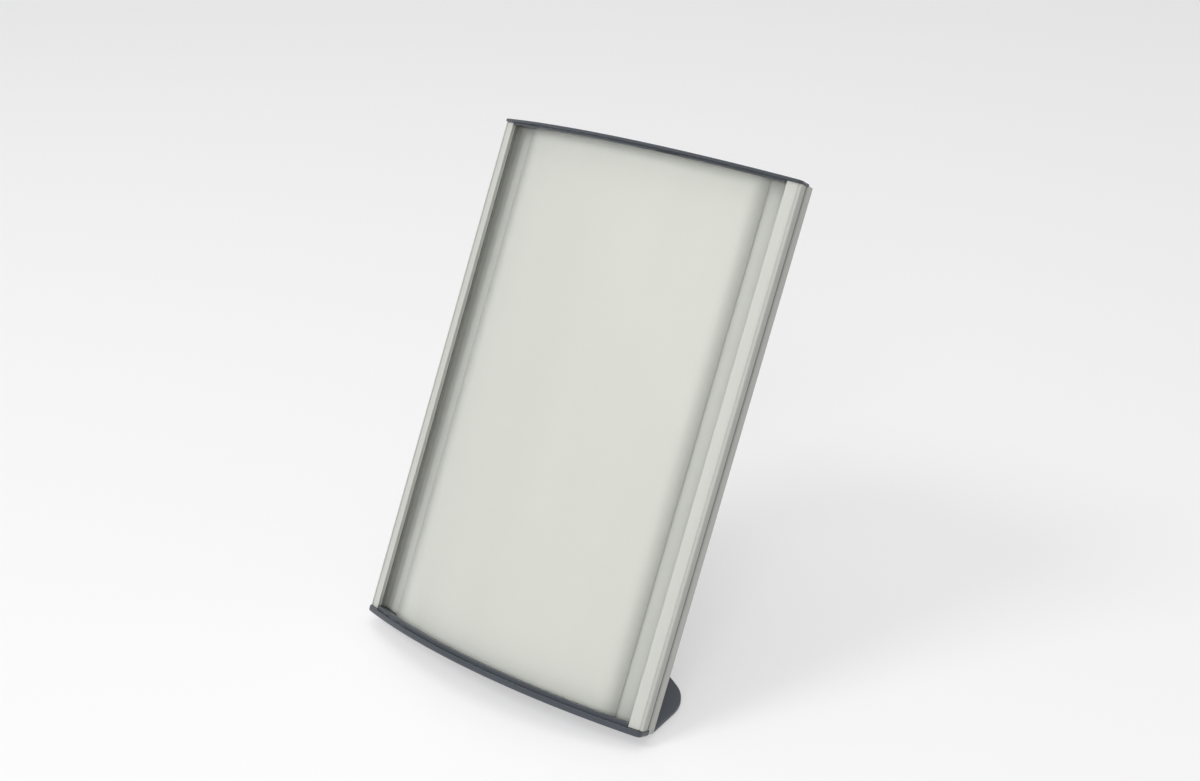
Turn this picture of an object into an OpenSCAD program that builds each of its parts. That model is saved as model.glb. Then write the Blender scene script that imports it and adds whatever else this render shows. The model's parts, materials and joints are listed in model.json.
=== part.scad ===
// Curved photo frame: an arched aluminium profile with two front lips, a
// curved pane in the lips, thin end caps and a bent steel foot behind it.
// Each section is drawn in plan (x across, y to the back) and runs up the rails.

/* [Profile] */
// Length of the rails between the end caps
rail_l = 156; // [120:1:240]
// Width across the outer corners of the lips
frame_w = 104.5; // [90:0.5:140]
// Radius of the lips' front face
face_r = 134.5; // [110:0.5:220]
// Angle at which the frame leans back
lean = 27.15; // [12:0.05:35]
// Inward slope of the side walls, front to back
side_draft = 3.2; // [0:0.1:12]
// Thickness of the side walls
wall_t = 1.3; // [1:0.1:2]
// Width of each lip
lip_w = 4; // [3:0.1:6]
// Thickness of each lip
lip_t = 1.4; // [1:0.1:2]
// Depth from the lips' front to the floor of the channel
floor_depth = 6; // [5.6:0.1:9]
// Thickness of the floor
floor_t = 1.3; // [1:0.1:2]

/* [Side groove] */
// Depth from the lips' front to the groove along each side
groove_start = 2.75; // [2:0.05:3.4]
// Height of the groove
groove_h = 1.3; // [0.6:0.1:1.6]
// How far the groove is cut into the side wall
groove_cut = 0.7; // [0.3:0.1:0.7]
// Distance of the fine line on each lip from its outer corner
line_inset = 0.75; // [0.5:0.05:1.5]
// Width of that line
line_w = 0.25; // [0.15:0.05:0.4]
// Depth of that line
line_cut = 0.15; // [0.1:0.05:0.3]

/* [Rear ribs] */
// Distance of each rib from the middle
rib_x = 24; // [18:0.5:30]
// Width of each rib
rib_w = 7; // [6:0.1:9]
// Diameter of the screw port along each rib
port_d = 2.7; // [2.2:0.1:3]
// Diameter of the tapped holes for the foot
tap_d = 2.5; // [2:0.1:2.6]
// Depth of those holes
tap_depth = 5; // [4:0.1:5.5]

/* [Pane and backing] */
// Thickness of the curved pane
pane_t = 2; // [1.5:0.1:2.2]
// Play round the pane
pane_gap = 0.15; // [0.1:0.05:0.3]
// Thickness of the felt tape behind the lips
felt_t = 0.35; // [0.2:0.05:0.5]
// Thickness of the backing plate
plate_t = 0.5; // [0.4:0.1:0.8]
// Bare strip of floor from the outer corner to the plate's edge
strip_w = 9.5; // [8:0.1:14]
// Width of each rolled edge of the plate
roll_w = 4.3; // [3:0.1:6]
// Drop of each rolled edge
roll_drop = 0.9; // [0.5:0.1:1.2]
// Width of the foam strips behind the plate
foam_w = 12; // [8:1:16]
// Distance of each foam strip from the rolled edge beside it
foam_inset = 6.8; // [1:0.1:12]
// Glue line or play beside felt and foam
bond_gap = 0.05; // [0.02:0.01:0.1]

/* [End caps] */
// Thickness of the top cap
top_t = 0.85; // [0.7:0.05:3]
// Thickness of the bottom cap
bottom_t = 1.8; // [1.4:0.1:3]
// How far the caps stand out in front of the lips
cap_over = 1; // [0.2:0.1:2]
// How far the caps stand out at each side
cap_side = 0.1; // [0:0.1:1]
// Height of the rim that hangs from the top cap between the lips
top_rim_h = 0.7; // [0.4:0.1:2]
// Height of the rim that stands on the bottom cap between the lips
bottom_rim_h = 1.1; // [0.4:0.1:2]
// Play between these rims and the lips, and between the caps and the side walls' tabs
cap_gap = 0.15; // [0.1:0.05:0.3]
// How far the side walls' tabs stop short of the caps' outer faces
tab_short = 0.5; // [0.1:0.1:0.6]
// Radius of the caps' corners in plan
cap_round = 2; // [1:0.1:3]
// Length of the pegs that hold the top cap
peg_l = 12; // [8:0.5:20]
// Play of a peg in its port, on the radius
peg_gap = 0.05; // [0.03:0.01:0.1]
// Width of the slot that splits each peg
peg_slot = 0.6; // [0.4:0.1:0.8]
// Gap between the ends of the rails and the caps
seam = 0.1; // [0.05:0.05:0.3]

/* [Screws] */
// Play of a screw's core in its hole, on the diameter
screw_gap = 0.1; // [0.02:0.02:0.2]
// Diameter of the screws' heads
head_d = 5; // [4.5:0.1:6]
// Height of the screws' heads
head_h = 1.5; // [1:0.1:1.7]
// Diameter of the holes that the screws pass through
clear_d = 3.2; // [3:0.1:3.6]
// Length of the screws in the bottom cap
cap_screw_l = 8; // [6:0.5:9]
// Length of the screws in the foot
foot_screw_l = 6; // [4:0.5:6.5]
// Width of the cross recess in each head
recess_w = 0.8; // [0.5:0.1:1]
// Depth of that recess
recess_cut = 0.7; // [0.4:0.1:0.9]

/* [Foot] */
// Thickness of the foot's sheet
sheet_t = 1.6; // [1.2:0.1:2]
// Width of the relief cut at each end of the bend
relief_w = 0.8; // [0.5:0.1:1.5]
// Gap between the foot's front edge and the frame's back
foot_gap = 0.15; // [0.1:0.05:0.5]
// Width of the upstand that is screwed to the ribs
upstand_w = 62; // [58:1:80]
// Height of the upstand along the frame
upstand_h = 21; // [19:0.5:30]
// Inner radius of the bend
bend_r = 0.8; // [0.5:0.1:2]
// Height of the lower pair of screws along the frame
low_screw_h = 9; // [8.5:0.1:10]
// Distance between the lower and the upper pair
screw_pitch = 7.5; // [6.5:0.5:12]
// Length of the foot on the table, behind the frame
foot_l = 33; // [28:0.5:45]
// Half width of the foot at its front edge
foot_half_w = 51.5; // [48:0.5:54]
// Inward taper of the foot's sides
foot_taper = 1.5; // [0:0.1:15]
// Radius of the foot's rear edge
rear_r = 88; // [70:1:140]
// Radius of the foot's rear corners
foot_round = 12; // [3:0.5:14]
// Diameter of the rubber pads
pad_d = 8; // [6:0.5:9]
// Thickness of the pads
pad_t = 0.6; // [0.5:0.1:2]
// Distance of the front pads from the middle
front_pad_x = 43; // [36:1:44]
// Distance of the rear pads from the middle
rear_pad_x = 15; // [10:1:24]
// Distance of the pads from the foot's front and rear edges
pad_inset = 6; // [5:0.5:8]
// Height of the frame's lowest edge above the table
edge_lift = 0.6; // [0.2:0.1:1]

/* [Hidden] */
$fn = 96;
arc_fn = 720;
eps = 0.01;
far = 400;

centre_y = sqrt(face_r * face_r - frame_w * frame_w / 4);
half_a = asin(frame_w / 2 / face_r);
sagitta = face_r - centre_y;
depth = floor_depth + floor_t;
back_y = depth;

pane_depth = lip_t + felt_t + pane_gap;
rear_strip_depth = groove_start + groove_h;
tab_step = 0.05;
tab_root = 1;
plate_depth = floor_depth - bond_gap - plate_t - roll_drop;
roll_a = 2 * atan(roll_drop / roll_w);
roll_r = roll_w / sin(roll_a);
roll_start_a = half_a - (strip_w + roll_w) / face_r * 180 / PI;
pane_l = rail_l - 2 * pane_gap;

pan_top_r = 0.7;
washer_t = 0.5;
washer_d = head_d + 1;
foot_screw_hs = [low_screw_h, low_screw_h + screw_pitch];
rib_mid_y = (floor_back_y(rib_x) + back_y) / 2;

// The frame stands with its lowest edge just clear of the table and with the
// whole object centred on the origin, front to back.
lift = edge_lift + back_y * sin(lean) + bottom_t * cos(lean);
front_most = -(sagitta + cap_over) * cos(lean) - bottom_t * sin(lean);
rear_most = back_y * cos(lean) + (rail_l + top_t) * sin(lean);
shift_y = -(front_most + rear_most) / 2;

// Corner where the upstand's front plane meets the underside of the foot.
bend_out_r = bend_r + sheet_t;
bend_a = 90 - lean;
bend_reach = bend_out_r / tan(bend_a / 2);
corner_h = (pad_t - lift + back_y * sin(lean)) / cos(lean);
corner_y = shift_y + back_y * cos(lean) + corner_h * sin(lean);
bend_mid = [corner_y + bend_reach, pad_t + bend_out_r];
foot_front_y = corner_y + sheet_t * tan(lean) + foot_gap;
foot_rear_y = foot_front_y + foot_l;

alu = [0.84, 0.84, 0.82];
slate = [0.25, 0.27, 0.30];
steel = [0.60, 0.61, 0.62];

// Where the back of the floor lies at a distance from the middle.
function floor_back_y(x) = centre_y - sqrt(pow(face_r - depth, 2) - x * x);
function on_arc(r, a) = [r * sin(a), centre_y - r * cos(a)];

// ---- placing ----

// From the rails' own directions (x across, y back, z up the rails) to the room's.
module leaning() {
    translate([0, shift_y, lift]) rotate([-lean, 0, 0]) children();
}

module both_sides() {
    children();
    mirror([1, 0, 0]) children();
}

// ---- plan shapes ----

// Everything between two depths behind the lips' front face.
module between_depths(front, back) {
    translate([0, centre_y]) difference() {
        circle(r = face_r - front, $fn = arc_fn);
        circle(r = face_r - back, $fn = arc_fn);
    }
}

// Plan of the profile between its side walls, drawn in by an inset.
module side_trim(inset = 0, back = back_y) {
    half = frame_w / 2 - inset / cos(side_draft);
    front = -sagitta - cap_over - 1;
    polygon([[-half + front * tan(side_draft), front], [half - front * tan(side_draft), front],
             [half - back * tan(side_draft), back], [-half + back * tan(side_draft), back]]);
}

module band(front, back, inset = 0) {
    intersection() {
        between_depths(front, back);
        side_trim(inset);
    }
}

// The parts of a band that lie within a distance of the side faces.
module edge_bands(front, back, from, to) {
    difference() {
        band(front, back, from);
        side_trim(to, back_y + 1);
    }
}

module half_plane(side) {
    translate([side > 0 ? 0 : -far, -far / 2]) square([far, far]);
}

module sector(centre, r_in, r_out, a_from, a_to) {
    intersection() {
        translate(centre) difference() {
            circle(r = r_out, $fn = arc_fn);
            circle(r = r_in, $fn = arc_fn);
        }
        polygon([centre, centre + 2 * r_out * [sin(a_from), -cos(a_from)],
                 centre + 2 * r_out * [sin(a_to), -cos(a_to)]]);
    }
}

// ---- profile ----

// Each rib starts inside the floor and ends in the plane of the side walls' rear edges.
module rib_plan() {
    intersection() {
        translate([rib_x - rib_w / 2, -sagitta]) square([rib_w, sagitta + back_y]);
        translate([0, centre_y]) circle(r = face_r - floor_depth - floor_t / 2, $fn = arc_fn);
    }
}

module profile_plan() {
    difference() {
        union() {
            band(floor_depth, depth);
            edge_bands(0, depth, 0, wall_t);
            edge_bands(0, lip_t, 0, lip_w);
            both_sides() rib_plan();
        }
        edge_bands(groove_start, groove_start + groove_h, -1, groove_cut);
        edge_bands(-1, line_cut, line_inset, line_inset + line_w);
        both_sides() translate([rib_x, rib_mid_y]) circle(d = port_d);
    }
}

// Behind the groove each side wall runs past both ends, milled a little thinner there,
// and the caps are let in between these tabs.
module end_tabs(from, to) {
    translate([0, 0, from]) linear_extrude(to - from)
        edge_bands(rear_strip_depth + tab_step, depth - tab_step, tab_step, wall_t - tab_step);
}

module profile() {
    color(alu) leaning() difference() {
        union() {
            translate([0, 0, seam]) linear_extrude(rail_l - 2 * seam) profile_plan();
            end_tabs(tab_short - bottom_t, tab_root);
            end_tabs(rail_l - tab_root, rail_l + top_t - tab_short);
        }
        both_sides() foot_screw_places() cylinder(d = tap_d, h = tap_depth);
    }
}

// Axes of the screws that hold the foot, from the ribs' rear faces inwards.
module foot_screw_places() {
    for (h = foot_screw_hs)
        translate([rib_x, back_y, h]) rotate([90, 0, 0]) children();
}

// ---- pane and backing ----

module curved_pane() {
    color([0.80, 0.88, 0.86, 0.35]) leaning()
        translate([0, 0, pane_gap]) linear_extrude(pane_l)
            band(pane_depth, pane_depth + pane_t, wall_t + pane_gap);
}

module plate_plan() {
    roll_centre = on_arc(face_r - plate_depth - roll_r, roll_start_a);
    sector([0, centre_y], face_r - plate_depth - plate_t, face_r - plate_depth,
           -roll_start_a, roll_start_a);
    both_sides() sector(roll_centre, roll_r - plate_t, roll_r, roll_start_a - eps, roll_start_a + roll_a);
}

module backing_plate() {
    color(alu) leaning()
        translate([0, 0, bond_gap]) linear_extrude(rail_l - 2 * bond_gap) plate_plan();
}

module foam_strip(side) {
    outer_a = roll_start_a - foam_inset / face_r * 180 / PI;
    inner_a = outer_a - foam_w / face_r * 180 / PI;
    color([0.20, 0.20, 0.21]) leaning() mirror([side < 0 ? 1 : 0, 0, 0])
        translate([0, 0, pane_gap]) linear_extrude(pane_l)
            sector([0, centre_y], face_r - floor_depth + bond_gap,
                   face_r - plate_depth - plate_t - bond_gap, inner_a, outer_a);
}

module felt_tape(side) {
    color([0.12, 0.12, 0.13]) leaning()
        translate([0, 0, pane_gap]) linear_extrude(pane_l) intersection() {
            edge_bands(lip_t + bond_gap, lip_t + felt_t, wall_t + bond_gap, lip_w - 2 * bond_gap);
            half_plane(side);
        }
}

module left_foam_strip() { foam_strip(-1); }
module right_foam_strip() { foam_strip(1); }
module left_felt_tape() { felt_tape(-1); }
module right_felt_tape() { felt_tape(1); }

// ---- end caps ----

module cap_plan() {
    difference() {
        offset(r = cap_round) offset(delta = -cap_round) intersection() {
            translate([0, centre_y]) circle(r = face_r + cap_over, $fn = arc_fn);
            side_trim(-cap_side);
        }
        edge_bands(rear_strip_depth - cap_gap, depth + cap_round, -cap_side - 1, wall_t + cap_gap);
    }
}

// Section of the rim that each cap has between the lips.
module rim_plan() {
    intersection() {
        between_depths(0, lip_t);
        side_trim(lip_w + cap_gap);
    }
}

module port_places() {
    both_sides() translate([rib_x, rib_mid_y, 0]) children();
}

// A cap's peg is split down its middle and tapered at its tip, so that it springs into the port.
module peg() {
    r = port_d / 2 - peg_gap;
    tip = 1;
    difference() {
        union() {
            cylinder(r = r, h = peg_l - tip);
            translate([0, 0, peg_l - tip]) cylinder(r1 = r, r2 = r - 0.4, h = tip);
        }
        translate([-peg_slot / 2, -port_d, peg_l / 3]) cube([peg_slot, 2 * port_d, peg_l]);
    }
}

module top_cap() {
    color(slate) leaning() translate([0, 0, rail_l]) {
        linear_extrude(top_t) cap_plan();
        translate([0, 0, -top_rim_h]) linear_extrude(top_rim_h + top_t / 2) rim_plan();
        port_places() mirror([0, 0, 1]) translate([0, 0, -top_t / 2]) peg();
    }
}

module bottom_cap() {
    color(slate) leaning() translate([0, 0, -bottom_t]) difference() {
        union() {
            linear_extrude(bottom_t) cap_plan();
            translate([0, 0, bottom_t / 2]) linear_extrude(bottom_t / 2 + bottom_rim_h) rim_plan();
        }
        port_places() translate([0, 0, -1]) cylinder(d = clear_d, h = bottom_t + 2);
    }
}

// ---- screws ----

// A pan-head screw whose shank runs up from z = 0.
module pan_screw(shank_d, shank_l) {
    difference() {
        union() {
            cylinder(d = shank_d, h = shank_l);
            translate([0, 0, -head_h + pan_top_r]) cylinder(d = head_d, h = head_h - pan_top_r);
            translate([0, 0, -head_h]) cylinder(d1 = head_d - 2 * pan_top_r, d2 = head_d, h = pan_top_r);
        }
        for (turn = [0, 90])
            rotate([0, 0, turn]) translate([-head_d / 4, -recess_w / 2, -head_h - 1])
                cube([head_d / 2, recess_w, recess_cut + 1]);
    }
}

module cap_screws() {
    color(steel) leaning() translate([0, 0, -bottom_t]) port_places()
        pan_screw(port_d - screw_gap, cap_screw_l);
}

module foot_screws() {
    color(steel) leaning() both_sides() foot_screw_places()
        translate([0, 0, -sheet_t - washer_t]) pan_screw(tap_d - screw_gap, foot_screw_l);
}

module foot_washers() {
    color(steel) leaning() both_sides() foot_screw_places()
        translate([0, 0, -sheet_t - washer_t]) difference() {
            cylinder(d = washer_d, h = washer_t);
            translate([0, 0, -1]) cylinder(d = clear_d, h = washer_t + 2);
        }
}

// ---- foot ----

module foot_plan() {
    intersection() {
        offset(r = foot_round) offset(delta = -foot_round) intersection() {
            translate([0, foot_rear_y - rear_r]) circle(r = rear_r, $fn = arc_fn);
            foot_sides(foot_front_y - 2 * foot_round);
        }
        foot_sides(foot_front_y);
    }
}

module foot_sides(front) {
    half = foot_half_w + (foot_front_y - front) * tan(foot_taper);
    rear_half = foot_half_w - foot_l * tan(foot_taper);
    polygon([[-half, front], [half, front], [rear_half, foot_rear_y], [-rear_half, foot_rear_y]]);
}

// The space behind the bent strip in side view, from the bend's centre out.
module behind_bend() {
    polygon([bend_mid, bend_mid + [far, 0], bend_mid + far * [sin(lean), cos(lean)]]);
}

// Side view of the bent strip: y to the back, z up.
module bent_strip_plan() {
    intersection() {
        difference() {
            offset(r = bend_out_r) behind_bend();
            offset(r = bend_r) behind_bend();
        }
        union() {
            translate([-far, 0]) square([far + bend_mid[0] + 2 * sheet_t, bend_mid[1]]);
            translate([shift_y, lift]) rotate(-lean)
                translate([0, -far]) square([back_y + bend_out_r, far + upstand_h]);
        }
    }
}

// Room in the flat sheet for the bend and its relief cuts.
module bend_notch() {
    notch_w = upstand_w + 2 * relief_w;
    translate([-notch_w / 2, foot_front_y - 1, 0])
        cube([notch_w, bend_mid[0] - foot_front_y + 1, far]);
}

module foot() {
    color(slate) {
        difference() {
            translate([0, 0, pad_t]) linear_extrude(sheet_t) foot_plan();
            bend_notch();
        }
        difference() {
            translate([-upstand_w / 2, 0, 0]) rotate([90, 0, 90])
                linear_extrude(upstand_w) bent_strip_plan();
            leaning() both_sides() foot_screw_places() translate([0, 0, -sheet_t - 1])
                cylinder(d = clear_d, h = sheet_t + 2);
        }
    }
}

module foot_pads() {
    color([0.10, 0.10, 0.11]) both_sides() {
        translate([front_pad_x, foot_front_y + pad_inset, 0]) cylinder(d = pad_d, h = pad_t);
        translate([rear_pad_x, foot_rear_y - pad_inset, 0]) cylinder(d = pad_d, h = pad_t);
    }
}

profile();
backing_plate();
left_foam_strip();
right_foam_strip();
left_felt_tape();
right_felt_tape();
curved_pane();
top_cap();
bottom_cap();
cap_screws();
foot();
foot_screws();
foot_washers();
foot_pads();
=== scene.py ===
import json
import math

import bmesh
import bpy
from mathutils import Matrix, Vector


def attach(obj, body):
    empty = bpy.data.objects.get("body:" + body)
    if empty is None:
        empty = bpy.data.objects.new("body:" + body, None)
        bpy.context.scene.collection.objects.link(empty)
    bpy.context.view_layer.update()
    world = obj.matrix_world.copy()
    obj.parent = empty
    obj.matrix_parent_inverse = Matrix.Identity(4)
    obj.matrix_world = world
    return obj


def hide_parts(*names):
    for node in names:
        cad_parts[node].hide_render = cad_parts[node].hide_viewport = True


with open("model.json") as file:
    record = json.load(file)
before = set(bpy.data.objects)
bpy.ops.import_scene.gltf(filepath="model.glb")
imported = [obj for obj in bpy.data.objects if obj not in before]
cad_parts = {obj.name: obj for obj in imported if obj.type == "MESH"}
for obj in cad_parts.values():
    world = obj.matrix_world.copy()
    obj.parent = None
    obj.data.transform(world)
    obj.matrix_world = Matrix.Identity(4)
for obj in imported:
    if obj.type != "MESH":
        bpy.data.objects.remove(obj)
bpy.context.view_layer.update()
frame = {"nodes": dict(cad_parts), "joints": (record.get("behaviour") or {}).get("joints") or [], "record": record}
nodes = frame["nodes"]
bodyOf = {name: body for body, names in frame["record"]["behaviour"]["bodies"].items() for name in names}
railAxis = Vector(frame["joints"][0]["axis"])  # the direction that the rails run in
leanAngle = math.atan2(railAxis.y, railAxis.z)
upright = Matrix.Rotation(leanAngle, 4, "X")  # turns the rails straight up
print("frame loaded:", len(nodes), "nodes, lean", round(math.degrees(leanAngle), 2))


# ---- small helpers ----

def colourFrom(red, green, blue):
    return tuple(((c / 255 + 0.055) / 1.055) ** 2.4 for c in (red, green, blue)) + (1.0,)


def makeActive(piece):
    bpy.ops.object.select_all(action="DESELECT")
    piece.select_set(True)
    bpy.context.view_layer.objects.active = piece


def uprightBox(nodeName, side=0):  # lowest and highest corner
    spots = [upright @ v.co for v in nodes[nodeName].data.vertices if v.co.x * side >= 0]
    low = Vector([min(s[i] for s in spots) for i in range(3)])
    high = Vector([max(s[i] for s in spots) for i in range(3)])
    return low, high


# ---- camera ----

camera = {"place": (0.24389, -0.30576, 0.26762), "turn": 37.15, "down": 25.40, "lens": 45.0, "sensor": 36.0}


def addCamera():
    turn = (math.radians(90 - camera["down"]), 0, math.radians(camera["turn"]))
    bpy.ops.object.camera_add(location=camera["place"], rotation=turn)
    shot = bpy.context.object
    shot.data.lens = camera["lens"]
    shot.data.sensor_width = camera["sensor"]
    shot.data.clip_start = 0.01
    bpy.context.scene.camera = shot


addCamera()
bpy.context.scene.view_settings.view_transform = "Standard"
print("camera placed")


# ---- shader building blocks ----

def addNode(tree, kind, place, **values):
    node = tree.nodes.new(kind)
    node.location = place
    for name, value in values.items():
        node.inputs[name].default_value = value
    return node


def newGroup(name, inputs, outputs):
    group = bpy.data.node_groups.new(name, "ShaderNodeTree")
    for label, value in inputs:
        socket = group.interface.new_socket(label, in_out="INPUT", socket_type="NodeSocketFloat")
        socket.default_value = value
    for label in outputs:
        group.interface.new_socket(label, in_out="OUTPUT", socket_type="NodeSocketFloat")
    entry = group.nodes.new("NodeGroupInput")
    entry.location = (-900, 0)
    leave = group.nodes.new("NodeGroupOutput")
    leave.location = (700, 0)
    return group, entry, leave


def maths(tree, job, place, first, second=None):
    node = tree.nodes.new("ShaderNodeMath")
    node.operation = job
    node.location = place
    for socket, value in zip(node.inputs, (first, second)):
        if value is None:
            continue
        if isinstance(value, (int, float)):
            socket.default_value = value
        else:
            tree.links.new(value, socket)
    return node.outputs[0]


def railCoordinates(tree, place, stretch):
    where = addNode(tree, "ShaderNodeTexCoord", (place[0] - 400, place[1]))
    turn = addNode(tree, "ShaderNodeMapping", (place[0] - 200, place[1]))
    turn.inputs["Rotation"].default_value = (leanAngle, 0, 0)
    tree.links.new(where.outputs["Object"], turn.inputs["Vector"])
    scale = addNode(tree, "ShaderNodeVectorMath", place)
    scale.operation = "MULTIPLY"
    scale.inputs[1].default_value = stretch
    tree.links.new(turn.outputs["Vector"], scale.inputs[0])
    return scale.outputs["Vector"]


def buildDieLines():
    group, entry, leave = newGroup("dieLines", [("Lines Per Metre", 1500.0)], ["Height", "Shade"])
    lines = addNode(group, "ShaderNodeTexNoise", (-200, 150), Detail=3.0, Roughness=0.6)
    group.links.new(entry.outputs[0], lines.inputs["Scale"])
    group.links.new(railCoordinates(group, (-400, 150), (1.0, 1.0, 0.004)), lines.inputs["Vector"])
    broad = addNode(group, "ShaderNodeTexNoise", (-200, -150), Scale=60.0, Detail=2.0)
    group.links.new(railCoordinates(group, (-400, -150), (1.0, 1.0, 0.12)), broad.inputs["Vector"])
    group.links.new(lines.outputs["Fac"], leave.inputs["Height"])
    mixed = maths(group, "MULTIPLY", (100, -50), lines.outputs["Fac"], broad.outputs["Fac"])
    group.links.new(maths(group, "MULTIPLY", (300, -50), mixed, 2.0), leave.inputs["Shade"])
    return group


def buildSatinGrain():
    group, entry, leave = newGroup("satinGrain", [("Grains Per Metre", 4000.0)], ["Height", "Shade"])
    where = addNode(group, "ShaderNodeTexCoord", (-700, 0))
    grain = addNode(group, "ShaderNodeTexNoise", (-300, 150), Detail=4.0, Roughness=0.65)
    group.links.new(where.outputs["Object"], grain.inputs["Vector"])
    group.links.new(entry.outputs[0], grain.inputs["Scale"])
    cloud = addNode(group, "ShaderNodeTexNoise", (-300, -150), Scale=35.0, Detail=3.0)
    group.links.new(where.outputs["Object"], cloud.inputs["Vector"])
    group.links.new(grain.outputs["Fac"], leave.inputs["Height"])
    group.links.new(cloud.outputs["Fac"], leave.inputs["Shade"])
    return group


dieLines = buildDieLines()
satinGrain = buildSatinGrain()


def startMaterial(name):
    material = bpy.data.materials.new(name)
    material.use_nodes = True
    tree = material.node_tree
    return material, tree, tree.nodes["Principled BSDF"]


def placeGroup(tree, group, place, value):
    node = tree.nodes.new("ShaderNodeGroup")
    node.node_tree = group
    node.location = place
    node.inputs[0].default_value = value
    return node


def mixColours(tree, mask, dark, light, place):
    mix = tree.nodes.new("ShaderNodeMix")
    mix.data_type = "RGBA"
    mix.location = place
    mix.inputs["A"].default_value = dark
    mix.inputs["B"].default_value = light
    tree.links.new(mask, mix.inputs["Factor"])
    return mix.outputs["Result"]


def spread(tree, mask, low, high, place):
    node = addNode(tree, "ShaderNodeMapRange", place)
    node.inputs["To Min"].default_value = low
    node.inputs["To Max"].default_value = high
    tree.links.new(mask, node.inputs["Value"])
    return node.outputs["Result"]


def bumpFrom(tree, height, distance, strength, shader, place):
    bump = addNode(tree, "ShaderNodeBump", place, Distance=distance, Strength=strength)
    tree.links.new(height, bump.inputs["Height"])
    tree.links.new(bump.outputs["Normal"], shader.inputs["Normal"])


def rise(tree, value, low, high, place):  # 0 below low, 1 above high
    node = addNode(tree, "ShaderNodeMapRange", place)
    node.interpolation_type = "SMOOTHSTEP"
    node.inputs["From Min"].default_value = low
    node.inputs["From Max"].default_value = high
    tree.links.new(value, node.inputs["Value"])
    return node.outputs["Result"]


def railSpot(tree, place):  # distance from the middle, and depth, with the rails upright
    split = addNode(tree, "ShaderNodeSeparateXYZ", place)
    tree.links.new(railCoordinates(tree, (place[0] - 200, place[1]), (1.0, 1.0, 1.0)), split.inputs["Vector"])
    return maths(tree, "ABSOLUTE", (place[0] + 200, place[1]), split.outputs["X"]), split.outputs["Y"]


# painted shade: the dark colour and shares that darken the side walls and shadow groove in place of the shade they
# get
paintedShadeLook = {"dark": (96, 96, 94), "wallShadeShare": 0.2, "grooveShadeShare": 0.8, "wallFrom": (0.0510, 0.0516),
            "grooveFrom": (-0.02975, -0.02945), "grooveTo": (-0.02835, -0.02805)}
rollLook = {"edge": 0.0418, "width": 0.006, "drop": 0.0017}


def buildPaintedWallShade():  # painted shade: both side walls darker, and the shadow groove in them darker still
    group, entry, leave = newGroup("paintedWallShade", [("Groove Share", 0.5)], ["Shade"])
    across, depth = railSpot(group, (-500, 0))
    wall = rise(group, across, *paintedShadeLook["wallFrom"], (-100, 200))
    inside = rise(group, depth, *paintedShadeLook["grooveFrom"], (-100, 0))
    past = rise(group, depth, *paintedShadeLook["grooveTo"], (-100, -200))
    groove = maths(group, "MULTIPLY", (200, -100), maths(group, "SUBTRACT", (50, -100), inside, past), wall)
    deep = maths(group, "MULTIPLY", (350, -100), groove, entry.outputs[0])
    light = maths(group, "MULTIPLY", (350, 100), wall, paintedShadeLook["wallShadeShare"])
    group.links.new(maths(group, "ADD", (500, 0), light, deep), leave.inputs["Shade"])
    return group


def buildRolledEdge():  # the sheet falls away towards its long edges
    group, entry, leave = newGroup("rolledEdge", [("Width", 0.006)], ["Height"])
    across, depth = railSpot(group, (-500, 0))
    start = maths(group, "SUBTRACT", (-100, -150), rollLook["edge"], entry.outputs[0])
    past = maths(group, "MAXIMUM", (100, 0), maths(group, "SUBTRACT", (0, 0), across, start), 0.0)
    share = maths(group, "DIVIDE", (200, 0), past, entry.outputs[0])
    fall = maths(group, "POWER", (350, 0), share, 2.0)
    group.links.new(maths(group, "SUBTRACT", (500, 0), 1.0, fall), leave.inputs["Height"])
    return group


paintedWallShade = buildPaintedWallShade()
rolledEdge = buildRolledEdge()


def finishMaterial(settings, group, name):
    material, tree, shader = startMaterial(name)
    pattern = placeGroup(tree, group, (-700, 0), settings["patternScale"])
    colour = mixColours(tree, pattern.outputs["Shade"], colourFrom(*settings["dark"]),
                        colourFrom(*settings["light"]), (-350, 200))
    tree.links.new(colour, shader.inputs["Base Color"])
    rough = spread(tree, pattern.outputs["Shade"], settings["smooth"], settings["rough"], (-350, 0))
    tree.links.new(rough, shader.inputs["Roughness"])
    bumpFrom(tree, pattern.outputs["Height"], settings["depth"], settings["bump"], shader, (-350, -250))
    shader.inputs["Metallic"].default_value = settings["metal"]
    return material


# ---- materials ----

anodised = {"dark": (198, 199, 193), "light": (207, 208, 202), "smooth": 0.48, "rough": 0.60,
            "metal": 0.3, "patternScale": 2500.0, "depth": 0.00001, "bump": 0.12}
plateAlloy = {"dark": (216, 217, 210), "light": (223, 224, 217), "smooth": 0.50, "rough": 0.60,
              "metal": 0.3, "patternScale": 6000.0, "depth": 0.00001, "bump": 0.10}
capPlastic = {"dark": (58, 63, 69), "light": (70, 75, 82), "smooth": 0.22, "rough": 0.32,
              "metal": 0.0, "patternScale": 5000.0, "depth": 0.00002, "bump": 0.25}
coatedSteel = {"dark": (72, 77, 85), "light": (84, 89, 98), "smooth": 0.42, "rough": 0.52,
               "metal": 0.0, "patternScale": 2200.0, "depth": 0.00005, "bump": 0.35}
zincSteel = {"dark": (168, 170, 172), "light": (196, 197, 198), "smooth": 0.24, "rough": 0.38,
             "metal": 1.0, "patternScale": 3000.0, "depth": 0.00001, "bump": 0.15}
padRubber = {"dark": (24, 24, 26), "light": (36, 36, 38), "smooth": 0.6, "rough": 0.75,
             "metal": 0.0, "patternScale": 3500.0, "depth": 0.00003, "bump": 0.3}
stripFoam = {"dark": (38, 38, 40), "light": (62, 62, 64), "smooth": 0.85, "rough": 0.95,
             "metal": 0.0, "patternScale": 1800.0, "depth": 0.0003, "bump": 0.8}
feltTape = {"dark": (58, 58, 60), "light": (78, 78, 81), "smooth": 0.9, "rough": 1.0,
            "metal": 0.0, "patternScale": 5000.0, "depth": 0.0001, "bump": 0.8}
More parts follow.
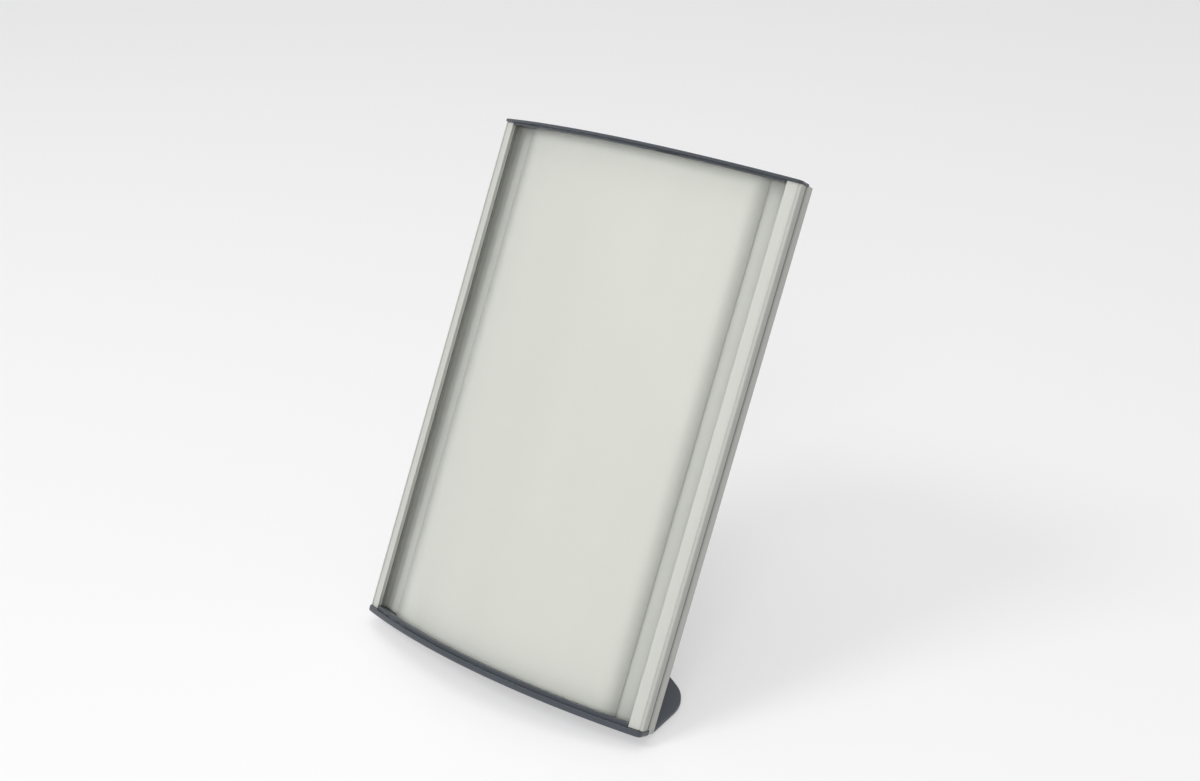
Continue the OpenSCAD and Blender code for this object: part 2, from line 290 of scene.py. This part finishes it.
paneGlass = {"colour": (0.99, 0.993, 0.989, 1.0), "shadow": (0.98, 0.985, 0.978, 1.0), "bending": 1.5,
             "clean": 0.0, "smudged": 0.05, "smudgeScale": 60.0}


# paints the side-wall and groove shade into the profile's base colour
def paintWallShade(material):
    tree = material.node_tree
    shader = tree.nodes["Principled BSDF"]
    shade = placeGroup(tree, paintedWallShade, (-700, 500), paintedShadeLook["grooveShadeShare"])
    mix = tree.nodes.new("ShaderNodeMix")
    mix.data_type = "RGBA"
    mix.location = (-100, 400)
    tree.links.new(shade.outputs["Shade"], mix.inputs["Factor"])
    tree.links.new(shader.inputs["Base Color"].links[0].from_socket, mix.inputs["A"])
    mix.inputs["B"].default_value = colourFrom(*paintedShadeLook["dark"])
    tree.links.new(mix.outputs["Result"], shader.inputs["Base Color"])


def rollEdges(material):
    tree = material.node_tree
    roll = placeGroup(tree, rolledEdge, (-700, -450), rollLook["width"])
    fall = addNode(tree, "ShaderNodeBump", (-350, -450), Distance=rollLook["drop"], Strength=1.0)
    tree.links.new(roll.outputs["Height"], fall.inputs["Height"])
    fine = tree.nodes["Bump"]
    tree.links.new(fall.outputs["Normal"], fine.inputs["Normal"])


def clearGlass():
    material, tree, shader = startMaterial("clearGlass")
    shader.inputs["Base Color"].default_value = paneGlass["colour"]
    shader.inputs["Transmission Weight"].default_value = 1.0
    shader.inputs["IOR"].default_value = paneGlass["bending"]
    marks = placeGroup(tree, satinGrain, (-700, 0), paneGlass["smudgeScale"])
    rough = spread(tree, marks.outputs["Shade"], paneGlass["clean"], paneGlass["smudged"], (-350, 0))
    tree.links.new(rough, shader.inputs["Roughness"])
    passing = tree.nodes.new("ShaderNodeBsdfTransparent")  # lets light reach what lies behind
    passing.inputs["Color"].default_value = paneGlass["shadow"]
    rays = tree.nodes.new("ShaderNodeLightPath")
    choose = tree.nodes.new("ShaderNodeMixShader")
    bare = maths(tree, "MAXIMUM", (-200, 300), rays.outputs["Is Shadow Ray"], rays.outputs["Is Diffuse Ray"])
    tree.links.new(bare, choose.inputs["Fac"])
    tree.links.new(shader.outputs["BSDF"], choose.inputs[1])
    tree.links.new(passing.outputs["BSDF"], choose.inputs[2])
    tree.links.new(choose.outputs["Shader"], tree.nodes["Material Output"].inputs["Surface"])
    return material


alloy = finishMaterial(anodised, dieLines, "anodisedProfile")
# painted shade on the profile's side walls and shadow groove
paintWallShade(alloy)
sheetAlloy = finishMaterial(plateAlloy, dieLines, "anodisedSheet")
rollEdges(sheetAlloy)
plastic = finishMaterial(capPlastic, satinGrain, "capPlastic")
coated = finishMaterial(coatedSteel, satinGrain, "coatedSteel")
zinc = finishMaterial(zincSteel, satinGrain, "zincSteel")
rubber = finishMaterial(padRubber, satinGrain, "padRubber")
foam = finishMaterial(stripFoam, satinGrain, "stripFoam")
felt = finishMaterial(feltTape, satinGrain, "feltTape")
glass = clearGlass()
print("materials made:", len(bpy.data.materials))


# ---- working on pieces ----

meshLook = {"mergeReach": 0.000002, "flatAngle": 0.2, "sameSpot": 0.00003}


def editMode(on):
    bpy.ops.object.mode_set(mode="EDIT" if on else "OBJECT")


def standFor(piece, nodeName, material):
    piece.data.materials.clear()
    piece.data.materials.append(material)
    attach(piece, bodyOf[nodeName])
    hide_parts(nodeName)


def mergedCopy(nodeName, pieceName, material):
    piece = bpy.data.objects.new(pieceName, nodes[nodeName].data.copy())
    bpy.context.collection.objects.link(piece)
    makeActive(piece)
    editMode(True)
    bpy.ops.mesh.select_all(action="SELECT")
    bpy.ops.mesh.remove_doubles(threshold=meshLook["mergeReach"])
    bpy.ops.mesh.dissolve_limited(angle_limit=math.radians(meshLook["flatAngle"]))
    editMode(False)
    standFor(piece, nodeName, material)
    return piece


def roundEdges(piece, chosen, width, steps, sharp=30):
    makeActive(piece)
    editMode(True)
    bpy.ops.mesh.select_mode(type="EDGE")
    bpy.ops.mesh.select_all(action="DESELECT")
    mesh = bmesh.from_edit_mesh(piece.data)
    found = 0
    for edge in mesh.edges:
        if len(edge.link_faces) != 2 or not edge.is_convex:
            continue
        ends = [upright @ v.co for v in edge.verts]
        if edge.calc_face_angle() > math.radians(sharp) and chosen(*ends):
            edge.select = True
            found += 1
    bmesh.update_edit_mesh(piece.data)
    if found:
        bpy.ops.mesh.bevel(offset=width, segments=steps, affect="EDGES", clamp_overlap=False)
    editMode(False)
    print(piece.name, "edges rounded:", found)


def softenAll(piece, width, steps, angle=40):
    makeActive(piece)
    bevel = piece.modifiers.new("softEdges", "BEVEL")
    bevel.width = width
    bevel.segments = steps
    bevel.limit_method = "ANGLE"
    bevel.angle_limit = math.radians(angle)
    bevel.use_clamp_overlap = False
    bpy.ops.object.modifier_apply(modifier=bevel.name)


def smoothFaces(piece, angle=35):
    makeActive(piece)
    bpy.ops.object.shade_smooth_by_angle(angle=math.radians(angle))
    weigh = piece.modifiers.new("evenFaces", "WEIGHTED_NORMAL")
    weigh.keep_sharp = True
    bpy.ops.object.modifier_apply(modifier=weigh.name)


def near(first, second):
    return abs(first - second) < meshLook["sameSpot"]


# ---- profile, plate and pane ----

profileLook = {"lipRadius": 0.00022, "backRadius": 0.00015, "steps": 3, "longEdge": 0.1}
plateLook = {"edgeRadius": 0.00012, "steps": 2}
paneLook = {"edgeRadius": 0.00025, "steps": 2}


def makeProfile():
    piece = mergedCopy("profile", "arched_profile", alloy)
    low, high = uprightBox("profile")

    def isLong(a, b):
        return (a - b).length > profileLook["longEdge"]

    def isLipEdge(a, b):
        outer = near(abs(a.x), high.x)
        inner = near(a.y, low.y)
        return isLong(a, b) and (outer or inner)

    def isBackEdge(a, b):
        return isLong(a, b) and near(a.y, high.y)

    roundEdges(piece, isLipEdge, profileLook["lipRadius"], profileLook["steps"])
    roundEdges(piece, isBackEdge, profileLook["backRadius"], profileLook["steps"])
    smoothFaces(piece)


def makeSoftened(nodeName, pieceName, material, look):
    piece = mergedCopy(nodeName, pieceName, material)
    softenAll(piece, look["edgeRadius"], look["steps"])
    smoothFaces(piece)


makeProfile()
makeSoftened("backing_plate", "sprung_plate", sheetAlloy, plateLook)
makeSoftened("curved_pane", "glass_pane", glass, paneLook)
print("profile, plate and pane made")


# ---- end caps ----

topCap = {"node": "top_cap", "name": "top_end_cap", "plate": 0.00085, "faceUp": 0.00025,
          "faceDown": 0.0002}
bottomCap = {"node": "bottom_cap", "name": "bottom_end_cap", "plate": 0.0018, "faceUp": 0.00025,
             "faceDown": 0.0006}
capLook = {"steps": 4, "portClear": 0.003}


def portSpots():
    spots = []
    for side in (-1, 1):
        low, high = uprightBox("cap_screws", side)
        spots.append((low + high) / 2)
    return spots


def makeCap(settings):
    piece = mergedCopy(settings["node"], settings["name"], plastic)
    low, high = uprightBox(settings["node"])
    isTop = settings["node"] == "top_cap"
    upFace = high.z if isTop else low.z + settings["plate"]
    downFace = upFace - settings["plate"]
    ports = portSpots()

    def clearOfPorts(spot):
        return all((spot.xy - port.xy).length > capLook["portClear"] for port in ports)

    def onUpFace(a, b):
        return near(a.z, upFace) and near(b.z, upFace) and clearOfPorts(a)

    def onDownFace(a, b):
        return near(a.z, downFace) and near(b.z, downFace) and clearOfPorts(a)

    roundEdges(piece, onUpFace, settings["faceUp"], capLook["steps"])
    roundEdges(piece, onDownFace, settings["faceDown"], capLook["steps"])
    smoothFaces(piece)


makeCap(topCap)
makeCap(bottomCap)
print("caps made")


# ---- foot ----

footLook = {"edgeRadius": 0.00035, "steps": 3}
padLook = {"edgeRadius": 0.00015, "steps": 3}
washerLook = {"edgeRadius": 0.0001, "steps": 2}

makeSoftened("foot", "bent_foot", coated, footLook)
makeSoftened("foot_pads", "rubber_pads", rubber, padLook)
makeSoftened("foot_washers", "flat_washers", zinc, washerLook)
print("foot made")


# ---- soft strips ----

foamLook = {"edgeRadius": 0.0002, "steps": 2}
feltLook = {"edgeRadius": 0.00006, "steps": 2}

for side in ("left", "right"):
    makeSoftened(side + "_foam_strip", side + "_foam_tape", foam, foamLook)
    makeSoftened(side + "_felt_tape", side + "_felt_liner", felt, feltLook)
print("strips made")


# ---- screws ----

screwLook = {"headRadius": 0.0025, "headHeight": 0.0015, "dome": 0.0011, "domeSteps": 7,
             "recessLength": 0.0028, "recessWidth": 0.0008, "recessDepth": 0.0009, "recessTaper": 0.55,
             "sides": 48, "tipTaper": 0.6, "capShank": 0.0013, "footShank": 0.0012}


def addRecessCutter(turn):
    bpy.ops.object.select_all(action="DESELECT")
    bpy.ops.mesh.primitive_cube_add(size=1.0, location=(0, 0, -screwLook["headHeight"]))
    cutter = bpy.context.object
    editMode(True)
    bpy.ops.mesh.select_mode(type="FACE")
    bpy.ops.transform.resize(value=(screwLook["recessLength"], screwLook["recessWidth"],
                                    2 * screwLook["recessDepth"]))
    bpy.ops.mesh.select_all(action="DESELECT")
    mesh = bmesh.from_edit_mesh(cutter.data)
    for face in mesh.faces:
        face.select = face.normal.z > 0.9
    bmesh.update_edit_mesh(cutter.data)
    bpy.ops.transform.resize(value=(screwLook["recessTaper"], screwLook["recessTaper"], 1.0))
    bpy.ops.mesh.select_all(action="SELECT")
    bpy.ops.transform.rotate(value=math.radians(turn), orient_axis="Z", center_override=(0, 0, 0))
    editMode(False)
    bpy.ops.object.transform_apply(location=True, rotation=True, scale=True)
    return cutter


def modelScrew(shankRadius, shankLength):
    bpy.ops.object.select_all(action="DESELECT")
    bpy.ops.mesh.primitive_cylinder_add(vertices=screwLook["sides"], radius=screwLook["headRadius"],
                                        depth=screwLook["headHeight"],
                                        location=(0, 0, -screwLook["headHeight"] / 2))
    head = bpy.context.object
    bpy.ops.object.transform_apply(location=True, rotation=True, scale=True)
    editMode(True)
    bpy.ops.mesh.select_mode(type="EDGE")
    bpy.ops.mesh.select_all(action="DESELECT")
    mesh = bmesh.from_edit_mesh(head.data)
    for edge in mesh.edges:
        edge.select = all(near(v.co.z, -screwLook["headHeight"]) for v in edge.verts)
    bmesh.update_edit_mesh(head.data)
    bpy.ops.mesh.bevel(offset=screwLook["dome"], segments=screwLook["domeSteps"], affect="EDGES",
                       clamp_overlap=False)
    bpy.ops.mesh.select_all(action="DESELECT")
    mesh = bmesh.from_edit_mesh(head.data)
    for face in mesh.faces:  # the shank grows from the head's flat face
        face.select = face.normal.z > 0.9
    bmesh.update_edit_mesh(head.data)
    bpy.ops.mesh.inset(thickness=screwLook["headRadius"] - shankRadius)
    for grow in (shankLength - shankRadius / 2, shankRadius / 2):
        bpy.ops.mesh.extrude_region_move(TRANSFORM_OT_translate={"value": (0, 0, grow)})
    bpy.ops.transform.resize(value=(screwLook["tipTaper"], screwLook["tipTaper"], 1.0))
    editMode(False)
    for turn in (0, 90):
        cutter = addRecessCutter(turn)
        makeActive(head)
        cut = head.modifiers.new("crossRecess", "BOOLEAN")
        cut.operation = "DIFFERENCE"
        cut.object = cutter
        bpy.ops.object.modifier_apply(modifier=cut.name)
        bpy.data.objects.remove(cutter)
    return head


def placeScrews(nodeName, pieceName, model, spots, facing):
    copies = []
    for spot in spots:
        copy = bpy.data.objects.new(pieceName, model.data.copy())
        bpy.context.collection.objects.link(copy)
        copy.matrix_world = upright.inverted() @ Matrix.Translation(spot) @ facing
        copies.append(copy)
    bpy.ops.object.select_all(action="DESELECT")
    for copy in copies:
        copy.select_set(True)
    bpy.context.view_layer.objects.active = copies[0]
    bpy.ops.object.transform_apply(location=True, rotation=True, scale=True)
    bpy.ops.object.join()
    group = bpy.context.object
    group.name = pieceName
    bpy.data.objects.remove(model)
    standFor(group, nodeName, zinc)
    smoothFaces(group, 30)


def makeCapScrews():
    spots = []
    for side in (-1, 1):
        low, high = uprightBox("cap_screws", side)
        spots.append(Vector(((low.x + high.x) / 2, (low.y + high.y) / 2, low.z + screwLook["headHeight"])))
    length = high.z - low.z - screwLook["headHeight"]
    placeScrews("cap_screws", "end_cap_screws", modelScrew(screwLook["capShank"], length), spots, Matrix())


def makeFootScrews():
    spots = []
    for side in (-1, 1):
        low, high = uprightBox("foot_screws", side)
        for height in (low.z + screwLook["headRadius"], high.z - screwLook["headRadius"]):
            spots.append(Vector(((low.x + high.x) / 2, high.y - screwLook["headHeight"], height)))
    length = high.y - low.y - screwLook["headHeight"]
    placeScrews("foot_screws", "upstand_screws", modelScrew(screwLook["footShank"], length), spots,
                Matrix.Rotation(math.pi / 2, 4, "X"))


makeCapScrews()
makeFootScrews()
print("screws made")


# ---- floor and light ----

studio = {"floorSize": 12.0, "floorColour": (0.93, 0.92535, 0.94116, 1.0), "floorRough": 0.3,
          "floorGlow": 0.97, "glowShare": 0.42, "backdrop": 0.95, "lampTarget": (0, 0, 0.07),
          "brightSide": (-0.35, -0.72, 0.60), "brightFill": 0.58, "dimFill": 0.0, "dimmestSide": -0.8}
lamps = [
    {"name": "keyPanel", "place": (-0.60, -0.90, 1.25), "size": 0.5, "power": 8.5},
    {"name": "fillPanel", "place": (0.45, -0.80, 0.60), "size": 0.5, "power": 3.8},
    {"name": "topPanel", "place": (0.00, 0.10, 1.80), "size": 1.2, "power": 8.0},
]


def seenRays(tree):
    rays = tree.nodes.new("ShaderNodeLightPath")
    some = maths(tree, "MAXIMUM", (-600, 0), rays.outputs["Is Camera Ray"], rays.outputs["Is Glossy Ray"])
    return maths(tree, "MAXIMUM", (-400, 0), some, rays.outputs["Is Transmission Ray"])


def addFloor():
    bpy.ops.object.select_all(action="DESELECT")
    bpy.ops.mesh.primitive_plane_add(size=studio["floorSize"])
    floor = bpy.context.object
    floor.name = "floor"
    material, tree, shader = startMaterial("paleFloor")
    shader.inputs["Base Color"].default_value = studio["floorColour"]
    shader.inputs["Roughness"].default_value = studio["floorRough"]
    glow = addNode(tree, "ShaderNodeEmission", (0, -300))
    glow.inputs["Strength"].default_value = studio["floorGlow"]
    mix = tree.nodes.new("ShaderNodeMixShader")
    share = maths(tree, "MULTIPLY", (-200, 0), seenRays(tree), studio["glowShare"])
    tree.links.new(share, mix.inputs["Fac"])
    tree.links.new(shader.outputs["BSDF"], mix.inputs[1])
    tree.links.new(glow.outputs["Emission"], mix.inputs[2])
    tree.links.new(mix.outputs["Shader"], tree.nodes["Material Output"].inputs["Surface"])
    floor.data.materials.append(material)


def addWorld():
    world = bpy.data.worlds.new("studio")
    bpy.context.scene.world = world
    world.use_nodes = True
    tree = world.node_tree
    where = addNode(tree, "ShaderNodeTexCoord", (-900, 200))
    facing = addNode(tree, "ShaderNodeVectorMath", (-700, 200))
    facing.operation = "DOT_PRODUCT"
    facing.inputs[1].default_value = studio["brightSide"]
    tree.links.new(where.outputs["Generated"], facing.inputs[0])
    fall = spread(tree, facing.outputs["Value"], studio["dimFill"], studio["brightFill"], (-500, 200))
    fall.node.inputs["From Min"].default_value = studio["dimmestSide"]
    light = tree.nodes["Background"]
    tree.links.new(fall, light.inputs["Strength"])
    light.inputs["Color"].default_value = (1.0, 1.0, 1.0, 1.0)
    backdrop = addNode(tree, "ShaderNodeBackground", (0, -200))
    backdrop.inputs["Strength"].default_value = studio["backdrop"]
    choose = tree.nodes.new("ShaderNodeMixShader")
    tree.links.new(seenRays(tree), choose.inputs["Fac"])
    tree.links.new(light.outputs["Background"], choose.inputs[1])
    tree.links.new(backdrop.outputs["Background"], choose.inputs[2])
    tree.links.new(choose.outputs["Shader"], tree.nodes["World Output"].inputs["Surface"])


def addLamp(settings):
    bpy.ops.object.light_add(type="AREA", location=settings["place"])
    lamp = bpy.context.object
    lamp.name = settings["name"]
    lamp.data.size = settings["size"]
    lamp.data.energy = settings["power"]
    lamp.visible_camera = False
    lamp.visible_glossy = False
    lamp.visible_transmission = False
    aim = Vector(studio["lampTarget"]) - Vector(settings["place"])
    lamp.rotation_euler = aim.to_track_quat("-Z", "Y").to_euler()


addFloor()
addWorld()
for lamp in lamps:
    addLamp(lamp)
print("studio set up")
